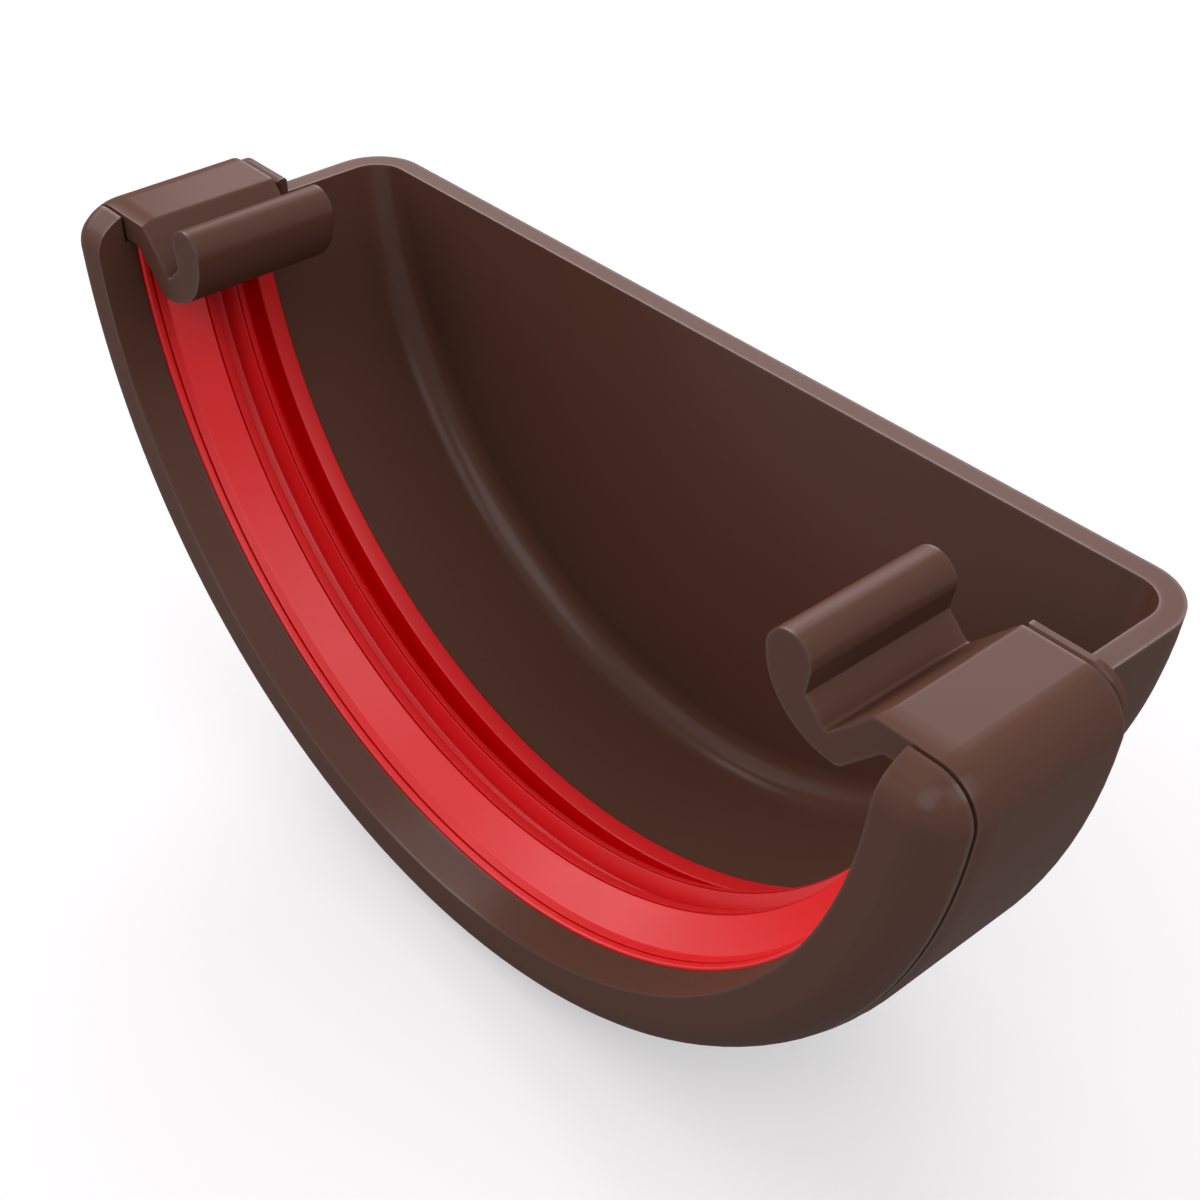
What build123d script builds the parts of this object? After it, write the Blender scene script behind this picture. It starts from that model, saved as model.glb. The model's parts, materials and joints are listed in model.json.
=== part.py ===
"""Stop end for a half-round rain gutter: a moulded body with two spring clips, and its rubber seal.

Millimetres, +Z up. The gutter's axis runs along Y. The gutter slides in at the open front, where Y
is lowest, and the flat end plate closes the back. Shapes are drawn about the gutter's axis and
moved at the end, so that the part stands on Z = 0 with its origin under the middle of its box.
"""
import os
from math import cos, radians, sin, sqrt

from build123d import *

# The gutter that the part takes, and the room round it
gutter_radius = 55.4
gutter_clearance = 0.4

# Cup at the back
cup_length = 39.4
cup_wall = 2.3
cup_back_radius = 6.0
rim_height = -4.5

# Socket at the front: collar, seal channel and outer band, which laps over the channel's back wall
collar_length = 4.5
channel_length = 15.6
channel_depth = 4.6
band_wall = 2.8
band_lap = 0.2
socket_top = -0.6
socket_corner_radius = 4.4

# Rounded front edge: a tight arc from the front face, then a wide one up to the top
nose_front_radius = 3.6
nose_front_turn = 53.0
nose_crown_radius = 7.1

# Flange behind the clips
flange_thickness = 1.5
flange_gap = 0.5
flange_drop = 0.4
flange_inset = 1.0
flange_bevel = 0.45
flange_reach = 3.5

# Spring clips, cut free of the collar and the flange
slit_width = 0.3
slit_start = 3.35
slit_angle = 36.0
clip_roof = 3.1

# Hook at each clip's inner edge: a slanting limb, a valley and an upright bulb
hook_limb = 2.9
hook_valley_depth = 4.8
hook_roof_end = 3.4
hook_floor = 2.5
hook_sole = 0.6
hook_edge_radius = 0.8
hook_valley_radius = 0.4
hook_knee_radius = 1.2
bulb_radius = 2.45
bulb_reach = 12.5
bulb_rise = 2.4
belly_depth = 5.3
neck_inset = 0.45

# Seal: front bead and band, two raked lips, an open groove and a rear land
seal_clearance = 0.1
seal_roof_clearance = 0.3
seal_hook_clearance = 0.3
seal_stand = 0.35
seal_bead_width = 0.6
seal_bead_round = 0.5
seal_front_width = 2.0
seal_ramp_length = 3.15
seal_lip_height = 2.8
seal_lip_step = 0.2
seal_lip_fall = 0.2
seal_lip_width = 1.35
seal_lip_pitch = 3.85
seal_lip_rise = 0.9
seal_rear_lip_width = 1.0
seal_valley_depth = 2.0
seal_slant = 0.3
seal_groove_skin = 1.0
seal_rear_width = 2.1
seal_line_width = 0.3
seal_line_depth = 0.22

# Sizes that follow
bore_radius = gutter_radius + gutter_clearance
cup_radius = bore_radius + cup_wall
channel_radius = bore_radius + channel_depth
socket_radius = channel_radius + band_wall
channel_end = collar_length + channel_length
band_length = channel_end + band_lap
flange_start = band_length + flange_gap
flange_end = flange_start + flange_thickness
flange_radius = socket_radius - flange_inset
flange_top = socket_top - flange_drop
flange_corner_radius = socket_corner_radius - flange_inset
clip_start = slit_start + slit_width
roof_underside = socket_top - clip_roof
roof_edge = bore_radius - hook_roof_end
far = 2 * socket_radius


def slab(face, start, end):
    """Solid of a face drawn in X and Z, from Y = start to Y = end."""
    return extrude(Plane.XZ.offset(-start) * face, amount=start - end)


def turned(section):
    """Lower half turn about the gutter's axis of a section drawn in radius and Y."""
    return revolve(section, Axis.Y, 180)


def upright_box(left, right, bottom, top):
    """Rectangle in X and Z between the four given sides."""
    return Pos((left + right) / 2, (bottom + top) / 2) * Rectangle(right - left, top - bottom)


def half_disc(radius, top, corner_radius):
    """Face of the U-shaped outline, filled, with its two top corners rounded."""
    face = Circle(radius) & upright_box(-far, far, -far, top)
    corners = face.vertices().filter_by(lambda v: abs(v.Y - top) < 1e-6)
    return fillet(corners, corner_radius)


def both_sides(shape):
    """The right-hand shape and its mirror image on the left."""
    return shape + mirror(shape, Plane.YZ)


def rounded(face, corner, radius):
    """The face with the vertex nearest to a corner rounded off."""
    return fillet(face.vertices().sort_by_distance(corner)[0], radius)


def cup():
    """Back of the body: the half-round cup, closed by the flat end plate."""
    inside_end = cup_length - cup_wall
    section = make_face(Polyline(
        (0, cup_length), (cup_radius, cup_length), (cup_radius, flange_start),
        (bore_radius, flange_start), (bore_radius, inside_end), (0, inside_end), close=True))
    section = rounded(section, (cup_radius, cup_length), cup_back_radius)
    section = rounded(section, (bore_radius, inside_end), cup_back_radius - cup_wall)
    below_rim = slab(upright_box(-far, far, -far, rim_height), 0, cup_length)
    return turned(section) & below_rim


def socket():
    """Collar, channel walls and outer band, before the clips are cut free."""
    front = make_face(Polyline(
        (bore_radius, 0), (socket_radius, 0), (socket_radius, band_length),
        (channel_radius, band_length), (channel_radius, collar_length),
        (bore_radius, collar_length), close=True))
    outline = half_disc(socket_radius, socket_top, socket_corner_radius)
    waist_radius = flange_radius - flange_bevel
    rear = make_face(Polyline(
        (bore_radius, channel_end), (waist_radius, channel_end), (waist_radius, flange_end),
        (bore_radius, flange_end), close=True))
    rear_outline = half_disc(waist_radius, flange_top - flange_bevel, flange_corner_radius)
    return ((turned(front) & slab(outline, 0, band_length))
            + (turned(rear) & slab(rear_outline, channel_end, flange_end)))


def flange():
    """Thin bevelled flange behind the clips, with a short wing inside each rim."""
    outline = half_disc(flange_radius, flange_top, flange_corner_radius)
    wing = upright_box(bore_radius - flange_reach, cup_radius, roof_underside - slit_width, flange_top)
    face = (outline - Circle(bore_radius)) + both_sides(wing & outline)
    plate = slab(face, flange_start, flange_end)
    rims = plate.faces().filter_by(Axis.Y).edges()
    return chamfer(rims, flange_bevel)


def clip_sector():
    """Wedge that holds the right-hand clip, from its slits' lower end to above the part."""
    low = (far * cos(radians(slit_angle)), -far * sin(radians(slit_angle)))
    return make_face(Polyline((0, 0), low, (far, far), (0, far), close=True))


def clip_room():
    """Space round both clips, which frees them from the collar, the channel and the flange."""
    outside_channel = (Circle(far) - Circle(channel_radius - slit_width)) & clip_sector()
    above_roof = upright_box(0, far, roof_underside - slit_width, far)
    return slab(both_sides(outside_channel + above_roof), slit_start, flange_start)


def hook():
    """Right-hand hook: a limb slopes in and down to a valley, and ends in an upright bulb."""
    valley = Vector(roof_edge - hook_valley_depth, socket_top - hook_valley_depth)
    bulb = Vector(bore_radius - bulb_reach, socket_top + bulb_rise - bulb_radius)
    neck_x = bulb.X + bulb_radius - neck_inset
    neck = Vector(neck_x, valley.Y + valley.X - neck_x)
    toe = Vector(roof_edge + hook_limb * sqrt(2) - clip_roof, roof_underside)
    sole_height = valley.Y - hook_floor
    knee = Vector(toe.X + sole_height - toe.Y, sole_height)

    top = Line((bore_radius, socket_top), (roof_edge, socket_top))
    slope = Line(top @ 1, valley)
    rise = Line(valley, neck)
    side = Line(neck, (bulb.X + bulb_radius, bulb.Y))
    crown = ThreePointArc(side @ 1, (bulb.X, bulb.Y + bulb_radius), (bulb.X - bulb_radius, bulb.Y))
    breast = TangentArc(crown @ 1, (bulb.X, bulb.Y - belly_depth), tangent=(0, -1))
    belly = TangentArc(breast @ 1, (knee.X - hook_sole, knee.Y), tangent=breast % 1)
    sole = Line(belly @ 1, knee)
    back = Line(knee, toe)
    ceiling = Line(toe, (bore_radius, roof_underside))
    root = Line(ceiling @ 1, top @ 0)
    face = make_face([top, slope, rise, side, crown, breast, belly, sole, back, ceiling, root])
    face = rounded(face, (roof_edge, socket_top), hook_edge_radius)
    face = rounded(face, valley, hook_valley_radius)
    face = rounded(face, toe, hook_edge_radius)
    return rounded(face, knee, hook_knee_radius)


def clip():
    """Both clips: the freed outer wall, the flat roof over the channel, and the hook."""
    outline = half_disc(socket_radius, socket_top, socket_corner_radius)
    wall = (outline - Circle(channel_radius)) & clip_sector()
    roof = upright_box(bore_radius - hook_roof_end / 4, far, roof_underside, socket_top) & outline
    return slab(both_sides(wall + roof + hook()), clip_start, band_length)


def nose_cutter():
    """What the moulding's rounded front edge takes away, swept along the whole outline."""
    outline = half_disc(socket_radius, socket_top, socket_corner_radius)
    top_edge = outline.edges().filter_by(Axis.X).sort_by(Axis.Y)[-1]
    curved = [edge for edge in outline.edges() if edge != top_edge]
    inner_x = roof_edge - hook_edge_radius
    corner_x = top_edge.vertices().sort_by(Axis.X)[-1].X
    right = Line((inner_x, socket_top), (corner_x, socket_top))
    left = Line((-corner_x, socket_top), (-inner_x, socket_top))
    path = Plane.XZ * Wire([left, *curved, right])
    turn = radians(nose_front_turn)
    depth = nose_front_radius * (1 - cos(turn)) + nose_crown_radius * cos(turn)
    height = nose_front_radius * sin(turn) + nose_crown_radius * (1 - sin(turn))
    margin = 1.0
    crown = CenterArc((depth, socket_top - nose_crown_radius), nose_crown_radius, 90, 90 - nose_front_turn)
    front = CenterArc((nose_front_radius, socket_top - height), nose_front_radius,
                      180 - nose_front_turn, nose_front_turn)
    edge = Polyline(front @ 1, (-margin, socket_top - height), (-margin, socket_top + margin),
                    (depth, socket_top + margin), crown @ 0)
    waste = Plane.YZ.offset(inner_x) * make_face([crown, front, edge])
    return sweep(waste, path=path)


def seal_section():
    """Section of the seal in radius and Y: front bead, two raked lips, open groove and rear land."""
    front = collar_length + seal_clearance / 2
    line_start = front + seal_bead_width
    back = channel_end - seal_clearance / 2
    seat = channel_radius - seal_clearance
    land = bore_radius - seal_stand
    rear_tip = gutter_radius - seal_lip_height
    front_tip = rear_tip + seal_lip_step
    valley = front_tip + seal_valley_depth
    groove_floor = channel_radius - seal_groove_skin
    ramp_start = front + seal_front_width
    lip_start = ramp_start + seal_ramp_length
    lip_end = lip_start + seal_lip_width
    rear_lip_start = lip_start + seal_lip_pitch
    rear_lip_end = rear_lip_start + seal_rear_lip_width
    rear_start = back - seal_rear_width
    return make_face(Polyline(
        (seat, front), (land + seal_bead_round, front), (land, front + seal_bead_round / 2),
        (land, line_start), (land + seal_line_depth, line_start + seal_line_width / 2),
        (land, line_start + seal_line_width), (land, ramp_start),
        (front_tip, lip_start), (front_tip + seal_lip_fall, lip_end),
        (valley, lip_end + seal_slant), (valley, rear_lip_start - seal_lip_rise),
        (rear_tip, rear_lip_start), (rear_tip + seal_lip_fall, rear_lip_end),
        (groove_floor, rear_lip_end + seal_slant), (groove_floor, rear_start),
        (land, rear_start), (land, back), (seat, back), close=True))


def seal():
    """Rubber seal, lying in the channel from clip roof to clip roof, its lips cut clear of the hooks."""
    below_roof = upright_box(-far, far, -far, roof_underside - seal_roof_clearance)
    hook_room = offset(hook(), seal_hook_clearance)
    room = slab(below_roof - both_sides(hook_room), 0, cup_length)
    return turned(seal_section()) & room


body = cup() + socket() + flange() - clip_room() + clip() - nose_cutter()

os.makedirs("parts", exist_ok=True)
place = Pos(0, -cup_length / 2, socket_radius)
export_step(place * body, "parts/body.step")
export_step(place * seal(), "parts/seal.step")
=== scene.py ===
"""Looks of a half-round gutter stop end: its moulded body, its rubber seal, a studio and the camera.

Metres, in the part's own frame: the part stands on Z = 0, its open front faces -Y, and the gutter's
axis runs along Y at the height of the socket's mount.
"""

import json
from math import acos, asin, cos, pi, radians, sin, sqrt, tan

import bmesh
import bpy
from bpy.props import FloatProperty, FloatVectorProperty, IntProperty, PointerProperty
from bpy.types import Operator, Panel, PropertyGroup
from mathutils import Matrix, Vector


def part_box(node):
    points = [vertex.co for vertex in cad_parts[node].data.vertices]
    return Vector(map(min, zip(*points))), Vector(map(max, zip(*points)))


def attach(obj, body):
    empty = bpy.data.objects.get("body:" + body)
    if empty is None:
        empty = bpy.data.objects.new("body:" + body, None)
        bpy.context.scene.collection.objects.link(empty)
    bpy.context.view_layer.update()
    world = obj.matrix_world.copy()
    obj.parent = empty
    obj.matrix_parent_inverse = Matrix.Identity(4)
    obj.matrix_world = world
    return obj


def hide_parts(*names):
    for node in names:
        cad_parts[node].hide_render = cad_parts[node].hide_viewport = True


bl_info = {
    "name": "Gutter Stop End",
    "version": (1, 0, 0),
    "blender": (4, 5, 0),
    "location": "3D View > Sidebar > Stop End",
    "description": "Finishes, seal and studio stage of a half-round gutter stop end",
    "category": "Object",
}

MM = 0.001

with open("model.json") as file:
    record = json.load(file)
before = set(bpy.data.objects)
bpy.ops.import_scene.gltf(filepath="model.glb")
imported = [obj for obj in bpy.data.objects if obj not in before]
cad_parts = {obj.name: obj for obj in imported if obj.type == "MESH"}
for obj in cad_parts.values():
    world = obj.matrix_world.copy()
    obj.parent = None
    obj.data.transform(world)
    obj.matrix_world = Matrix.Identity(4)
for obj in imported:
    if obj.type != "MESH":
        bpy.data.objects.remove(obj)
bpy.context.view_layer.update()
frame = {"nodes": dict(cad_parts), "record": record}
socket_mount = next(m for m in frame["record"]["mounts"] if m["name"] == "gutter_socket")
AXIS_HEIGHT = socket_mount["pos_m"][2]
BORE_RADIUS = socket_mount["dims"]["r_mm"] * MM
SEAL_LOW, SEAL_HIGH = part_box("seal")

# Material slots of the seal's mesh: plain rubber, rubber with painted shade in the fine lines, rubber with
# painted light in the open groove
PLAIN, FINE_LINE, OPEN_GROOVE = range(3)
# Edges of the seal that turn by less than this are shaded smooth
SMOOTH_TURN = radians(60)
# Most of a side of the seal's section that the rounding at one of its ends may take
SIDE_SHARE = 0.45
# Share of the rays into the solid that meet nothing nearby, on a plain face and on an outer edge
OPEN_ON_FACE, OPEN_ON_EDGE = 1.0, 0.6
INWARD_RAYS = 8
BEVEL_RAYS = 6
NOISE_MIDDLE = 0.5

# Lamps of the studio: heading and height in degrees, and watts
SOFTBOXES = {"low softbox": (135, 25, 3.9), "high softbox": (135, 40, 3.9),
             "left softbox": (190, 30, 5.5), "front softbox": (225, 20, 1.2),
             "fill softbox": (285, 45, 3.8), "right softbox": (0, 45, 2.6)}
LAMP_TINT = (1.0, 0.93, 0.98)
LAMP_SIZE = 0.6
LAMP_DISTANCE = 0.9
LAMP_AIM = Vector((0.0, 0.0, 0.03))
# Soft sky of the studio: heading and height of each lobe in degrees, and its brightness
SKY_LOBES = [(60, 25, 0.9), (30, 60, 0.5), (210, 60, 0.3), (0, 90, 0.55)]
LOBE_POWER = 3.0
WHITE = (1.0, 1.0, 1.0, 1.0)
SENSOR_WIDTH = 36.0


def length(name, description, default_mm):
    """Property that holds a length, given here in millimetres."""
    return FloatProperty(name=name, description=description, default=default_mm * MM, min=0.0,
                         precision=5, subtype="DISTANCE", unit="LENGTH")


def colour(name, description, default):
    """Property that holds a linear colour."""
    return FloatVectorProperty(name=name, description=description, default=default, size=3,
                               min=0.0, max=1.0, subtype="COLOR")


def amount(name, description, default, top=1.0):
    """Property that holds a plain number from 0 to top."""
    return FloatProperty(name=name, description=description, default=default, min=0.0, max=top)


class BodySettings(PropertyGroup):
    """Finish of the moulded body."""
    brown: colour("Brown", "Main colour of the moulding", (0.074, 0.0345, 0.023))
    shade: colour("Shade", "Colour of the slightly darker flow of the melt", (0.066, 0.0305, 0.0202))
    roughness: amount("Roughness", "Roughness of the plastic under its skin", 0.55)
    unevenness: amount("Unevenness", "How far the roughness varies over the surface", 0.12)
    specular: amount("Specular", "Strength of the plastic's own reflection", 0.0)
    flow_scale: amount("Flow Scale", "Swirls of the melt in a metre", 45.0, 500.0)
    grain_scale: amount("Grain Scale", "Grains in a metre", 5000.0, 20000.0)
    grain_height: length("Grain Height", "Height of the grain", 0.008)
    skin: amount("Skin", "Weight of the thin satin skin that the mould leaves", 0.08)
    skin_roughness: amount("Skin Roughness", "Roughness of the satin skin", 0.22)
    skin_index: amount("Skin Index", "Refractive index of the satin skin", 2.0, 3.0)
    edge_skin: amount("Edge Skin", "Weight of the skin on the outer edges", 0.2)
    edge_reach: length("Edge Reach", "How far the glossier skin reaches from an outer edge", 0.4)
    edge_round: length("Edge Round", "Radius that the crisp edges are broken with", 0.3)


class SealSettings(PropertyGroup):
    """Section and finish of the rubber seal, with painted shade in its fine lines and painted light in its
    open groove.
    """
    stand: length("Stand", "How far the front band stands inside the collar's bore", 0.35)
    bead_width: length("Bead Width", "Width of the round front bead", 0.75)
    bead_round: length("Bead Round", "Rounding of the front bead", 0.42)
    front_width: length("Front Width", "From the front face to the foot of the ramp", 2.0)
    ramp_length: length("Ramp Length", "From the ramp's foot to the first lip", 3.15)
    lip_radius: length("Lip Radius", "Radius of the second lip's tip about the gutter's axis", 52.6)
    lip_step: length("Lip Step", "How far the first lip stays under the second", 0.2)
    lip_fall: length("Lip Fall", "How far a lip's land falls off behind its front edge", 0.2)
    lip_width: length("Lip Width", "Width of the first lip's land", 1.35)
    lip_pitch: length("Lip Pitch", "From the first lip's edge to the second's", 3.85)
    lip_rise: length("Lip Rise", "Length of the steep front of the second lip", 0.9)
    rear_lip_width: length("Rear Lip Width", "Width of the second lip's land", 1.0)
    valley_depth: length("Valley Depth", "Depth of the valley between the lips", 2.0)
    slant: length("Slant", "How far the lips' backs lean", 0.3)
    skin: length("Skin", "Rubber left under the open groove", 0.9)
    rear_width: length("Rear Width", "Width of the rear land", 2.1)
    edge_round: length("Edge Round", "Rounding of the seal's outer edges", 0.2)
    line_width: length("Line Width", "Width of the fine grooves beside the bead and the lips", 0.26)
    line_depth: length("Line Depth", "Depth of the fine grooves", 0.26)
    hook_line: length("Hook Line", "Sum of X and depth of the slant that clears the hook's back", 57.57)
    steps: IntProperty(name="Steps", description="Divisions along the seal", default=200, min=24)
    red: colour("Red", "Main colour of the rubber", (0.54, 0.005, 0.007))
    # Painted shade: a darker red than the plain rubber, put down in the fine grooves where shade falls
    painted_shade_line_red: colour("Line Red", "Colour of the rubber down in the fine grooves", (0.38, 0.001, 0.001))
    # Painted light: a brighter red than the plain rubber in the open groove, to lighten the shadow in it
    painted_light_groove_red: colour("Groove Red", "Colour of the rubber in the open groove", (0.75, 0.001, 0.001))
    shade: amount("Shade", "Brightness of the rubber where its bloom is thin", 0.89)
    roughness: amount("Roughness", "Roughness of the rubber", 0.42)
    unevenness: amount("Unevenness", "How far the roughness varies over the surface", 0.12)
    specular: amount("Specular", "Strength of the rubber's reflection", 0.4)
    # Weaker reflection of the rubber copies with painted shade in the fine lines and painted light in the
    # open groove
    deep_specular: amount("Deep Specular", "Strength of the reflection in the grooves", 0.05)
    flow_scale: amount("Flow Scale", "Swirls of the rubber in a metre", 60.0, 500.0)
    grain_scale: amount("Grain Scale", "Grains in a metre", 3500.0, 20000.0)
    grain_height: length("Grain Height", "Height of the grain", 0.01)


class StageSettings(PropertyGroup):
    """Camera, lamps and floor."""
    camera_place: FloatVectorProperty(
        name="Camera Place", description="Where the camera stands", size=3,
        default=(0.121799, -0.103723, 0.157306), subtype="TRANSLATION", unit="LENGTH", precision=5)
    camera_turn: FloatVectorProperty(
        name="Camera Turn", description="Tilt, roll and heading of the camera", size=3,
        default=(radians(52.5943), radians(-0.1227), radians(48.9547)), subtype="EULER", unit="ROTATION")
    lens: FloatProperty(
        name="Lens", description="Focal length on a 36 mm wide frame", default=59.145, unit="CAMERA")
    floor_size: length("Floor Size", "Side of the floor", 4000)
    floor_colour: colour("Floor", "Colour of the floor", (0.3, 0.3, 0.3))
    floor_roughness: amount("Floor Roughness", "Roughness of the floor", 0.9)
    floor_glow: amount("Floor Glow", "White added to the floor where it is seen or mirrored", 0.45)
    far_glow: amount("Far Glow", "White added to the floor out of the lamps' reach", 0.75)
    lit_floor: length("Lit Floor", "Radius of the floor that the lamps light fully", 300)
    far_floor: length("Far Floor", "Radius from which the lamps don't reach the floor", 1200)
    sky: amount("Sky", "Strength of the soft light from all round", 1.0, 5.0)
    lamps: amount("Lamps", "Strength of the softboxes", 1.0, 5.0)


def line_starts(seal):
    """Y at which the fine grooves behind the bead and in front of the two lips begin."""
    lip_start = SEAL_LOW[1] + seal.front_width + seal.ramp_length
    return SEAL_LOW[1] + seal.bead_width, lip_start, lip_start + seal.lip_pitch


def deep_bands(seal):
    """Bands of the seal that lie deeper than the rest, as (first Y, last Y, material slot): the fine lines
    take the rubber with painted shade, the open groove the rubber with painted light.
    """
    starts = line_starts(seal)
    lines = [(start, start + seal.line_width, FINE_LINE) for start in starts]
    return [*lines, (starts[-1] + seal.rear_lip_width, SEAL_HIGH[1] - seal.rear_width, OPEN_GROOVE)]


def section_corners(seal):
    """Corners of the seal's section as (radius, Y, rounding), from the seat round the lips and back."""
    front, back = SEAL_LOW[1], SEAL_HIGH[1]
    bead_end, lip_start, rear_lip_start = line_starts(seal)
    seat = AXIS_HEIGHT - SEAL_LOW[2]
    land = BORE_RADIUS - seal.stand
    rear_tip = seal.lip_radius
    front_tip = rear_tip + seal.lip_step
    valley = front_tip + seal.valley_depth
    groove_floor = seat - seal.skin
    ramp_start = front + seal.front_width
    ramp_round = seal.front_width / 4
    lip_end = lip_start + seal.lip_width
    rear_lip_end = rear_lip_start + seal.rear_lip_width
    rear_start = back - seal.rear_width
    line_round = seal.line_width / 4

    def fine_line(radius, start):
        """Fine groove along the seal: two soft shoulders with a floor between them."""
        return [(radius, start, line_round),
                (radius + seal.line_depth, start + seal.line_width / 2, line_round),
                (radius, start + seal.line_width, line_round)]

    return [
        (seat, front, 0.0), (land, front, seal.bead_round),
        *fine_line(land, bead_end),
        (land, ramp_start, ramp_round),
        *fine_line(front_tip, lip_start),
        (front_tip + seal.lip_fall, lip_end, seal.slant),
        (valley, lip_end + seal.slant, seal.slant), (valley, rear_lip_start - seal.lip_rise, seal.slant),
        *fine_line(rear_tip, rear_lip_start),
        (rear_tip + seal.lip_fall, rear_lip_end, seal.slant),
        (groove_floor, rear_lip_end + seal.slant, seal.slant), (groove_floor, rear_start, seal.slant),
        (land, rear_start, seal.edge_round), (land, back, seal.edge_round), (seat, back, 0.0)]


def rounded_outline(corners, steps=5):
    """Closed outline in which each corner is a short curve that touches both of its sides."""
    outline = []
    for i, (x, y, rounding) in enumerate(corners):
        corner = Vector((x, y))
        before = Vector(corners[i - 1][:2]) - corner
        after = Vector(corners[(i + 1) % len(corners)][:2]) - corner
        if rounding == 0.0:
            outline.append(corner)
            continue
        turn = pi - before.angle(after)
        reach = min(rounding * tan(turn / 2), SIDE_SHARE * before.length, SIDE_SHARE * after.length)
        first, last = corner + before.normalized() * reach, corner + after.normalized() * reach
        for step in range(steps + 1):
            t = step / steps
            outline.append((1 - t) ** 2 * first + 2 * t * (1 - t) * corner + t ** 2 * last)
    return outline


def end_angle(radius, seal):
    """Angle below the horizontal at which the seal ends: under the clip's roof or before the hook's back.

    The hook's back is a slant at 45 degrees, on which X and the depth below the axis add up to hook_line.
    """
    under_roof = asin((AXIS_HEIGHT - SEAL_HIGH[2]) / radius)
    reach = seal.hook_line / (radius * sqrt(2))
    before_hook = pi / 4 - acos(reach) if reach < 1 else pi / 4
    return max(under_roof, before_hook)


def turned_ring(name, outline, steps, end, bands):
    """Mesh of a section turned about the gutter's axis, closed at both ends.

    Faces between the two Y values of a band get the material slot that the band names.
    """
    mesh = bpy.data.meshes.new(name)
    shape = bmesh.new()
    rows = []
    for step in range(steps + 1):
        share = step / steps
        row = []
        for radius, y in outline:
            low = end(radius)
            angle = -low - share * (pi - 2 * low)
            row.append(shape.verts.new((radius * cos(angle), y, AXIS_HEIGHT + radius * sin(angle))))
        rows.append(row)
    count = len(outline)
    for i in range(count):
        j = (i + 1) % count
        low, high = sorted((outline[i][1], outline[j][1]))
        slot = next((slot for start, stop, slot in bands if start <= low and high <= stop), PLAIN)
        for first, second in zip(rows, rows[1:]):
            face = shape.faces.new((first[i], first[j], second[j], second[i]))
            face.material_index = slot
    caps = [shape.faces.new(rows[0][::-1]), shape.faces.new(rows[-1])]
    bmesh.ops.triangulate(shape, faces=caps, ngon_method="EAR_CLIP")
    bmesh.ops.recalc_face_normals(shape, faces=shape.faces)
    for face in shape.faces:
        face.smooth = True
    for edge in shape.edges:
        edge.smooth = edge.calc_face_angle(pi) < SMOOTH_TURN
    shape.to_mesh(mesh)
    shape.free()
    return mesh


def add_node(tree, kind, place, **values):
    """Node of a kind, with its settings and the values of its named inputs."""
    node = tree.nodes.new(kind)
    node.location = place
    for name, value in values.items():
        if hasattr(node, name):
            setattr(node, name, value)
        else:
            node.inputs[name.replace("_", " ").title()].default_value = value
    return node


def moulded_skin():
    """Node group of a moulded surface: slow flow of two shades, uneven gloss and a fine grain."""
    group = bpy.data.node_groups.get("Moulded Skin")
    if group:
        return group
    group = bpy.data.node_groups.new("Moulded Skin", "ShaderNodeTree")
    sockets = [("Colour", "INPUT", "NodeSocketColor"), ("Shade", "INPUT", "NodeSocketColor"),
               ("Flow Scale", "INPUT", "NodeSocketFloat"), ("Grain Scale", "INPUT", "NodeSocketFloat"),
               ("Roughness", "INPUT", "NodeSocketFloat"), ("Unevenness", "INPUT", "NodeSocketFloat"),
               ("Colour", "OUTPUT", "NodeSocketColor"), ("Roughness", "OUTPUT", "NodeSocketFloat"),
               ("Height", "OUTPUT", "NodeSocketFloat")]
    for name, way, kind in sockets:
        group.interface.new_socket(name=name, in_out=way, socket_type=kind)
    entry = add_node(group, "NodeGroupInput", (-900, 0))
    leave = add_node(group, "NodeGroupOutput", (600, 0))
    place = add_node(group, "ShaderNodeTexCoord", (-900, -300))
    flow = add_node(group, "ShaderNodeTexNoise", (-500, 200), detail=3.0, roughness=0.55, distortion=0.4)
    grain = add_node(group, "ShaderNodeTexNoise", (-500, -200), detail=4.0, roughness=0.6)
    mix = add_node(group, "ShaderNodeMix", (-100, 250), data_type="RGBA")
    gloss = add_node(group, "ShaderNodeMath", (-100, 0), operation="SUBTRACT")
    gloss.inputs[1].default_value = NOISE_MIDDLE
    spread = add_node(group, "ShaderNodeMath", (100, 0), operation="MULTIPLY")
    total = add_node(group, "ShaderNodeMath", (300, 0), operation="ADD")
    links = [
        (place.outputs["Object"], flow.inputs["Vector"]), (place.outputs["Object"], grain.inputs["Vector"]),
        (entry.outputs["Flow Scale"], flow.inputs["Scale"]),
        (entry.outputs["Grain Scale"], grain.inputs["Scale"]),
        (flow.outputs["Fac"], mix.inputs["Factor"]),
        (entry.outputs["Colour"], mix.inputs["A"]), (entry.outputs["Shade"], mix.inputs["B"]),
        (flow.outputs["Fac"], gloss.inputs[0]), (gloss.outputs[0], spread.inputs[0]),
        (entry.outputs["Unevenness"], spread.inputs[1]), (spread.outputs[0], total.inputs[0]),
        (entry.outputs["Roughness"], total.inputs[1]),
        (mix.outputs["Result"], leave.inputs["Colour"]), (total.outputs[0], leave.inputs["Roughness"]),
        (grain.outputs["Fac"], leave.inputs["Height"])]
    for start, end in links:
        group.links.new(start, end)
    return group


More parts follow.
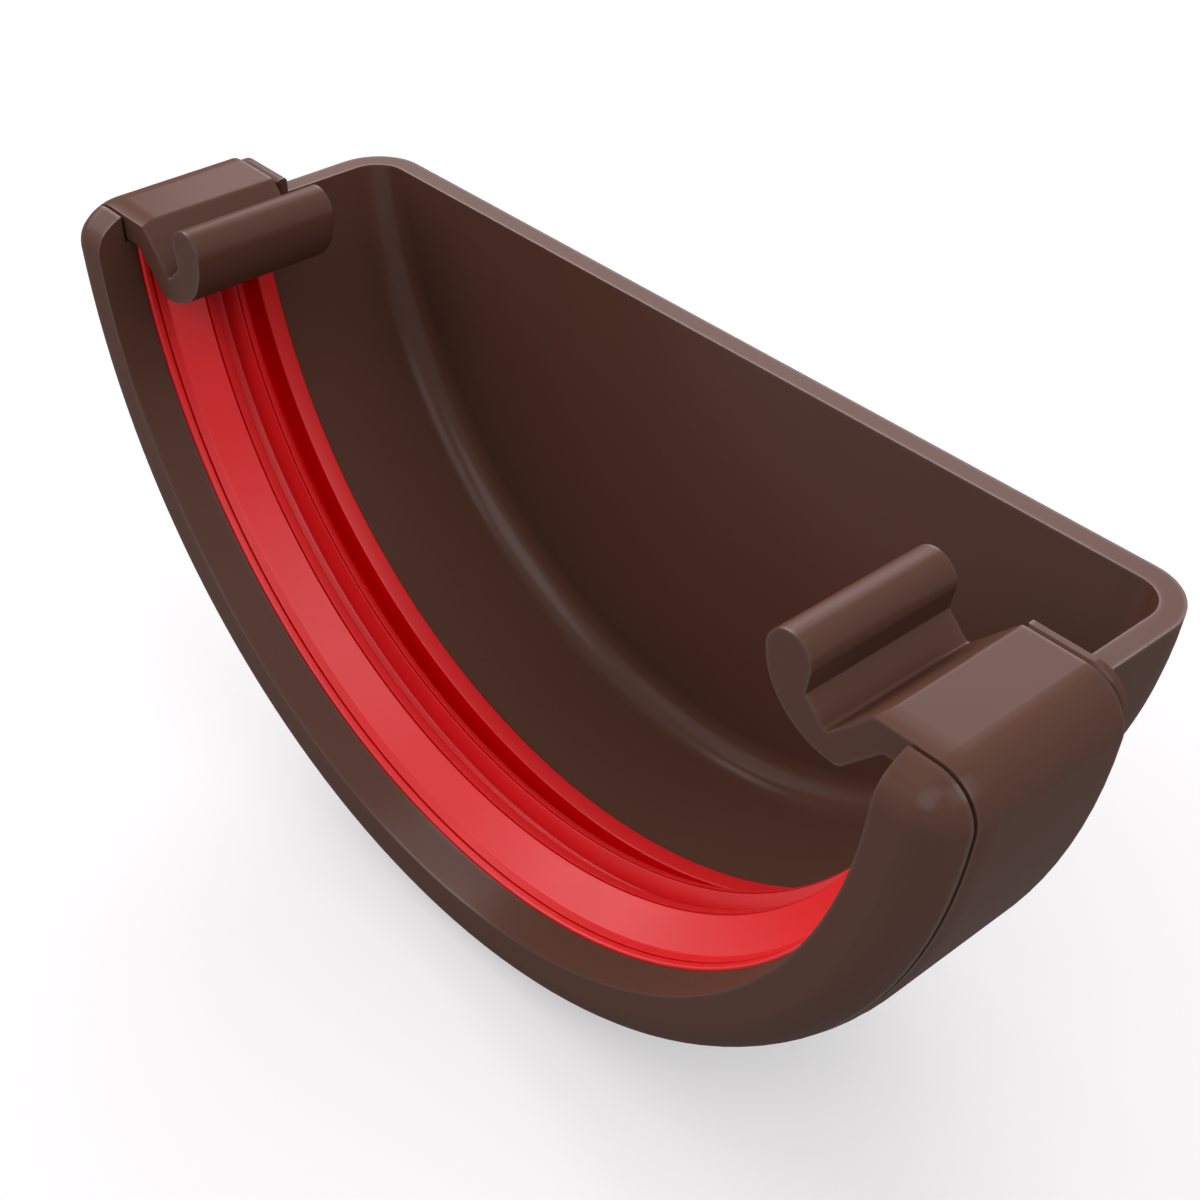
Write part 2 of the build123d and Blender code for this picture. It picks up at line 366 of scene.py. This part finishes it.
def moulded_material(name, base, shade, specular, finish):
    """Material of a moulded piece, with the shared skin and its grain as bump."""
    material = bpy.data.materials.new(name)
    material.use_nodes = True
    tree = material.node_tree
    shader = tree.nodes["Principled BSDF"]
    shader.inputs["Specular IOR Level"].default_value = specular
    skin = add_node(tree, "ShaderNodeGroup", (-700, 0), node_tree=moulded_skin(),
                    colour=(*base, 1.0), shade=(*shade, 1.0),
                    flow_scale=finish.flow_scale, grain_scale=finish.grain_scale,
                    roughness=finish.roughness, unevenness=finish.unevenness)
    bump = add_node(tree, "ShaderNodeBump", (-350, -300), distance=finish.grain_height)
    tree.links.new(skin.outputs["Colour"], shader.inputs["Base Color"])
    tree.links.new(skin.outputs["Roughness"], shader.inputs["Roughness"])
    tree.links.new(skin.outputs["Height"], bump.inputs["Height"])
    tree.links.new(bump.outputs["Normal"], shader.inputs["Normal"])
    return material


def break_edges(tree, radius):
    """Make a material's crisp edges catch the light as if they had a small radius."""
    edges = add_node(tree, "ShaderNodeBevel", (-700, -400), samples=BEVEL_RAYS, radius=radius)
    tree.links.new(edges.outputs["Normal"], tree.nodes["Bump"].inputs["Normal"])


def satin_skin(tree, finish):
    """Give a material a thin skin, glossier on the outer edges, which it finds by looking inward."""
    inward = add_node(tree, "ShaderNodeAmbientOcclusion", (-700, 400), samples=INWARD_RAYS, inside=True,
                      only_local=True, distance=finish.edge_reach)
    weight = add_node(tree, "ShaderNodeMapRange", (-400, 400), from_min=OPEN_ON_FACE, from_max=OPEN_ON_EDGE,
                      to_min=finish.skin, to_max=finish.edge_skin)
    shader = tree.nodes["Principled BSDF"]
    shader.inputs["Coat Roughness"].default_value = finish.skin_roughness
    shader.inputs["Coat IOR"].default_value = finish.skin_index
    tree.links.new(inward.outputs["AO"], weight.inputs["Value"])
    tree.links.new(weight.outputs["Result"], shader.inputs["Coat Weight"])


class STOPEND_OT_body(Operator):
    """Give the moulded body its satin brown finish"""
    bl_idname = "stop_end.body"
    bl_label = "Finish Body"

    def execute(self, context):
        settings = context.scene.stop_end_body
        material = moulded_material("brown satin moulding", settings.brown, settings.shade,
                                    settings.specular, settings)
        break_edges(material.node_tree, settings.edge_round)
        satin_skin(material.node_tree, settings)
        for slot in frame["nodes"]["body"].material_slots:
            slot.material = material
        return {"FINISHED"}


class STOPEND_OT_seal(Operator):
    """Build the rubber seal with its bead, lips and fine lines, in the channel of the body"""
    bl_idname = "stop_end.seal"
    bl_label = "Build Seal"

    def execute(self, context):
        settings = context.scene.stop_end_seal
        mesh = turned_ring("lipped_seal", rounded_outline(section_corners(settings)), settings.steps,
                           lambda radius: end_angle(radius, settings), deep_bands(settings))
        seal = bpy.data.objects.new("lipped_seal", mesh)
        context.scene.collection.objects.link(seal)
        # In the order of the slots PLAIN, FINE_LINE and OPEN_GROOVE: the plain rubber, a darker copy with
        # painted shade in the fine lines and a brighter copy with painted light in the open groove, both
        # with a weaker reflection
        reds = [("red rubber", settings.red, settings.specular),
                ("red rubber with painted shade in the fine lines", settings.painted_shade_line_red, settings.deep_specular),
                ("red rubber with painted light in the open groove", settings.painted_light_groove_red, settings.deep_specular)]
        for name, red, specular in reds:
            shade = [part * settings.shade for part in red]
            mesh.materials.append(moulded_material(name, red, shade, specular, settings))
        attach(seal, "root")
        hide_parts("seal")
        return {"FINISHED"}


def toward(heading, height):
    """Direction at a heading, in degrees from X to Y, and a height above the horizon."""
    level = cos(radians(height))
    return Vector((level * cos(radians(heading)), level * sin(radians(heading)), sin(radians(height))))


def seen_or_mirrored(tree, place):
    """One where a ray comes from the camera, off a glossy surface or through a clear one, else nought."""
    path = add_node(tree, "ShaderNodeLightPath", (place[0] - 600, place[1]))
    mirrored = add_node(tree, "ShaderNodeMath", (place[0] - 200, place[1]), operation="MAXIMUM")
    seen = add_node(tree, "ShaderNodeMath", place, operation="MAXIMUM")
    tree.links.new(path.outputs["Is Glossy Ray"], mirrored.inputs[0])
    tree.links.new(path.outputs["Is Transmission Ray"], mirrored.inputs[1])
    tree.links.new(path.outputs["Is Camera Ray"], seen.inputs[0])
    tree.links.new(mirrored.outputs[0], seen.inputs[1])
    return seen.outputs[0]


def pale_floor(scene, settings):
    """Square floor that looks white and keeps the object's shadow."""
    half = settings.floor_size / 2
    mesh = bpy.data.meshes.new("floor")
    mesh.from_pydata([(-half, -half, 0), (half, -half, 0), (half, half, 0), (-half, half, 0)], [],
                     [(0, 1, 2, 3)])
    floor = bpy.data.objects.new("floor", mesh)
    scene.collection.objects.link(floor)

    material = bpy.data.materials.new("pale floor")
    material.use_nodes = True
    mesh.materials.append(material)
    tree = material.node_tree
    shader = tree.nodes["Principled BSDF"]
    shader.inputs["Base Color"].default_value = (*settings.floor_colour, 1.0)
    shader.inputs["Roughness"].default_value = settings.floor_roughness
    shader.inputs["Emission Color"].default_value = WHITE
    centre = add_node(tree, "ShaderNodeTexCoord", (-1000, -600))
    distance = add_node(tree, "ShaderNodeVectorMath", (-800, -600), operation="LENGTH")
    strength = add_node(tree, "ShaderNodeMapRange", (-600, -600),
                        from_min=settings.lit_floor, from_max=settings.far_floor,
                        to_min=settings.floor_glow, to_max=settings.far_glow)
    glow = add_node(tree, "ShaderNodeMath", (-200, -300), operation="MULTIPLY")
    tree.links.new(centre.outputs["Object"], distance.inputs[0])
    tree.links.new(distance.outputs["Value"], strength.inputs["Value"])
    tree.links.new(seen_or_mirrored(tree, (-400, -300)), glow.inputs[0])
    tree.links.new(strength.outputs["Result"], glow.inputs[1])
    tree.links.new(glow.outputs[0], shader.inputs["Emission Strength"])


def soft_sky(tree, place, strength):
    """Sum of wide soft lobes of light, each brightest in its own direction."""
    ray = add_node(tree, "ShaderNodeTexCoord", (place[0] - 800, place[1]))
    total = None
    for row, (heading, height, brightness) in enumerate(SKY_LOBES):
        y = place[1] - 180 * row
        facing = add_node(tree, "ShaderNodeVectorMath", (place[0] - 600, y), operation="DOT_PRODUCT")
        facing.inputs[1].default_value = toward(heading, height)
        front = add_node(tree, "ShaderNodeMath", (place[0] - 400, y), operation="MAXIMUM")
        front.inputs[1].default_value = 0.0
        lobe = add_node(tree, "ShaderNodeMath", (place[0] - 200, y), operation="POWER")
        lobe.inputs[1].default_value = LOBE_POWER
        added = add_node(tree, "ShaderNodeMath", (place[0], y), operation="MULTIPLY_ADD")
        added.inputs[1].default_value = brightness * strength
        added.inputs[2].default_value = 0.0
        tree.links.new(ray.outputs["Generated"], facing.inputs[0])
        tree.links.new(facing.outputs["Value"], front.inputs[0])
        tree.links.new(front.outputs[0], lobe.inputs[0])
        tree.links.new(lobe.outputs[0], added.inputs[0])
        if total:
            tree.links.new(total, added.inputs[2])
        total = added.outputs[0]
    return total


def studio_world(scene, settings):
    """World that looks white and lights the object with the soft sky."""
    world = bpy.data.worlds.new("studio")
    world.use_nodes = True
    scene.world = world
    tree = world.node_tree
    background = tree.nodes["Background"]
    background.inputs["Color"].default_value = WHITE
    brightness = add_node(tree, "ShaderNodeMix", (-200, 0), data_type="FLOAT", b=1.0)
    tree.links.new(soft_sky(tree, (-400, -300), settings.sky), brightness.inputs["A"])
    tree.links.new(seen_or_mirrored(tree, (-400, 0)), brightness.inputs["Factor"])
    tree.links.new(brightness.outputs["Result"], background.inputs["Strength"])


def softbox(scene, name, heading, height, watts):
    """Square soft lamp that points at the middle of the object."""
    lamp = bpy.data.lights.new(name, "AREA")
    lamp.size = LAMP_SIZE
    lamp.energy = watts
    lamp.color = LAMP_TINT
    holder = bpy.data.objects.new(name, lamp)
    holder.location = LAMP_AIM + LAMP_DISTANCE * toward(heading, height)
    holder.rotation_euler = toward(heading, height).to_track_quat("Z", "Y").to_euler()
    scene.collection.objects.link(holder)


def photo_camera(scene, settings):
    """Camera at the photograph's place, which the render uses."""
    lens = bpy.data.cameras.new("camera")
    lens.sensor_width = SENSOR_WIDTH
    lens.lens = settings.lens
    camera = bpy.data.objects.new("camera", lens)
    camera.location = settings.camera_place
    camera.rotation_euler = settings.camera_turn
    scene.collection.objects.link(camera)
    scene.camera = camera


class STOPEND_OT_stage(Operator):
    """Set up the pale floor, the soft lamps, the white ground and the camera"""
    bl_idname = "stop_end.stage"
    bl_label = "Build Stage"

    def execute(self, context):
        scene = context.scene
        settings = scene.stop_end_stage
        pale_floor(scene, settings)
        studio_world(scene, settings)
        for name, (heading, height, watts) in SOFTBOXES.items():
            softbox(scene, name, heading, height, watts * settings.lamps)
        photo_camera(scene, settings)
        scene.view_settings.view_transform = "Standard"
        return {"FINISHED"}


class STOPEND_PT_panel(Panel):
    """Sizes, colours and builders of the stop end"""
    bl_label = "Gutter Stop End"
    bl_idname = "STOPEND_PT_panel"
    bl_space_type = "VIEW_3D"
    bl_region_type = "UI"
    bl_category = "Stop End"

    def draw(self, context):
        for operator, name, _ in SECTIONS:
            box = self.layout.box()
            settings = getattr(context.scene, name)
            for setting in settings.bl_rna.properties.keys():
                if setting not in ("rna_type", "name"):
                    box.prop(settings, setting)
            box.operator(operator)


SECTIONS = [("stop_end.body", "stop_end_body", BodySettings),
            ("stop_end.seal", "stop_end_seal", SealSettings),
            ("stop_end.stage", "stop_end_stage", StageSettings)]
CLASSES = [BodySettings, SealSettings, StageSettings,
           STOPEND_OT_body, STOPEND_OT_seal, STOPEND_OT_stage, STOPEND_PT_panel]


def register():
    for cls in CLASSES:
        bpy.utils.register_class(cls)
    for _, name, group in SECTIONS:
        setattr(bpy.types.Scene, name, PointerProperty(type=group))


def unregister():
    for _, name, _ in SECTIONS:
        delattr(bpy.types.Scene, name)
    for cls in reversed(CLASSES):
        bpy.utils.unregister_class(cls)


def main():
    register()
    bpy.ops.stop_end.body()
    bpy.ops.stop_end.seal()
    bpy.ops.stop_end.stage()


if __name__ == "__main__":
    main()
